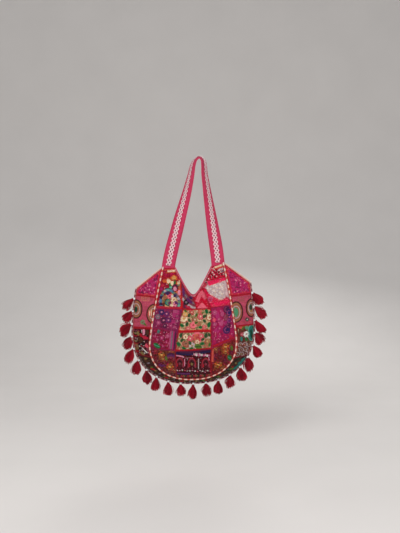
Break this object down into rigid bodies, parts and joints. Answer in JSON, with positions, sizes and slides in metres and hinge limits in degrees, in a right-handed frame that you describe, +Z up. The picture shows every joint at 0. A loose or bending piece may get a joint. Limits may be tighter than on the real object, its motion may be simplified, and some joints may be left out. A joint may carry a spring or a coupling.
{
  "type": "patchwork shoulder bag",
  "caption": "Soft pouch-shaped shoulder bag of pieced cloth patches with a V neckline, one wide twisted strap and a row of yarn tassels round its seam",
  "frame": {"origin": "underside of the strap's top bend, where the bag hangs from a hook", "axes": "+Z up along the hanging bag, front faces -Y, +X to the right seen from the front"},
  "size_m": [0.4911, 0.1127, 0.8219],
  "materials": {
    "back_cotton": "plain woven cotton",
    "back_band_cotton": "plain woven cotton",
    "trim_cord": "corded trim with pale dashes",
    "band_corner_left_cloth": "embroidered and quilted cotton",
    "band_corner_right_cloth": "embroidered and quilted cotton",
    "band_dark_left_cloth": "embroidered and quilted cotton",
    "band_eye_left_cloth": "embroidered and quilted cotton",
    "band_eye_right_cloth": "embroidered and quilted cotton",
    "band_lower_left_cloth": "embroidered and quilted cotton",
    "band_lower_right_cloth": "embroidered and quilted cotton",
    "band_teal_right_cloth": "embroidered and quilted cotton",
    "edge_cord": "twisted cord",
    "front_arch_patch_cloth": "embroidered and quilted cotton",
    "front_chevron_patch_cloth": "embroidered and quilted cotton",
    "front_flower_patch_cloth": "embroidered and quilted cotton",
    "front_garden_lower_cloth": "embroidered and quilted cotton",
    "front_garden_upper_cloth": "embroidered and quilted cotton",
    "front_indigo_patch_cloth": "embroidered and quilted cotton",
    "front_magenta_patch_cloth": "embroidered and quilted cotton",
    "front_mauve_left_cloth": "embroidered and quilted cotton",
    "front_mauve_right_cloth": "embroidered and quilted cotton",
    "front_neck_left_cloth": "embroidered and quilted cotton",
    "front_pale_patch_cloth": "embroidered and quilted cotton",
    "front_peak_left_cloth": "embroidered and quilted cotton",
    "front_peak_right_cloth": "embroidered and quilted cotton",
    "front_rosette_patch_cloth": "embroidered and quilted cotton",
    "front_violet_patch_cloth": "embroidered and quilted cotton",
    "neck_binding": "folded cotton binding",
    "piping": "covered piping",
    "strap_cotton": "folded and stitched cotton band",
    "braid": "woven silver-white braid",
    "tassel_yarn": "cut yarn"
  },
  "bodies": {
    "root": {"back_base": "back_cotton", "back_panel": "back_cotton", "back_peak_left": "back_cotton", "back_peak_right": "back_cotton", "back_side_left": "back_band_cotton", "back_side_right": "back_band_cotton", "back_trim": "trim_cord", "band_corner_left": "band_corner_left_cloth", "band_corner_right": "band_corner_right_cloth", "band_dark_left": "band_dark_left_cloth", "band_eye_left": "band_eye_left_cloth", "band_eye_right": "band_eye_right_cloth", "band_lower_left": "band_lower_left_cloth", "band_lower_right": "band_lower_right_cloth", "band_teal_right": "band_teal_right_cloth", "edge_cord": "edge_cord", "front_arch_patch": "front_arch_patch_cloth", "front_chevron_patch": "front_chevron_patch_cloth", "front_flower_patch": "front_flower_patch_cloth", "front_garden_lower": "front_garden_lower_cloth", "front_garden_upper": "front_garden_upper_cloth", "front_indigo_patch": "front_indigo_patch_cloth", "front_magenta_patch": "front_magenta_patch_cloth", "front_mauve_left": "front_mauve_left_cloth", "front_mauve_right": "front_mauve_right_cloth", "front_neck_left": "front_neck_left_cloth", "front_pale_patch": "front_pale_patch_cloth", "front_peak_left": "front_peak_left_cloth", "front_peak_right": "front_peak_right_cloth", "front_rosette_patch": "front_rosette_patch_cloth", "front_trim": "trim_cord", "front_violet_patch": "front_violet_patch_cloth", "neck_binding_back": "neck_binding", "neck_binding_front": "neck_binding", "shoulder_piping_left": "piping", "shoulder_piping_right": "piping", "strap": "strap_cotton", "strap_braid": "braid", "tassel_01": "tassel_yarn", "tassel_02": "tassel_yarn", "tassel_03": "tassel_yarn", "tassel_04": "tassel_yarn", "tassel_05": "tassel_yarn", "tassel_06": "tassel_yarn", "tassel_07": "tassel_yarn", "tassel_08": "tassel_yarn", "tassel_09": "tassel_yarn", "tassel_10": "tassel_yarn", "tassel_11": "tassel_yarn", "tassel_12": "tassel_yarn", "tassel_13": "tassel_yarn", "tassel_14": "tassel_yarn", "tassel_15": "tassel_yarn", "tassel_16": "tassel_yarn", "tassel_17": "tassel_yarn", "tassel_18": "tassel_yarn", "tassel_19": "tassel_yarn", "tassel_20": "tassel_yarn", "tassel_21": "tassel_yarn"}
  },
  "joints": []
}
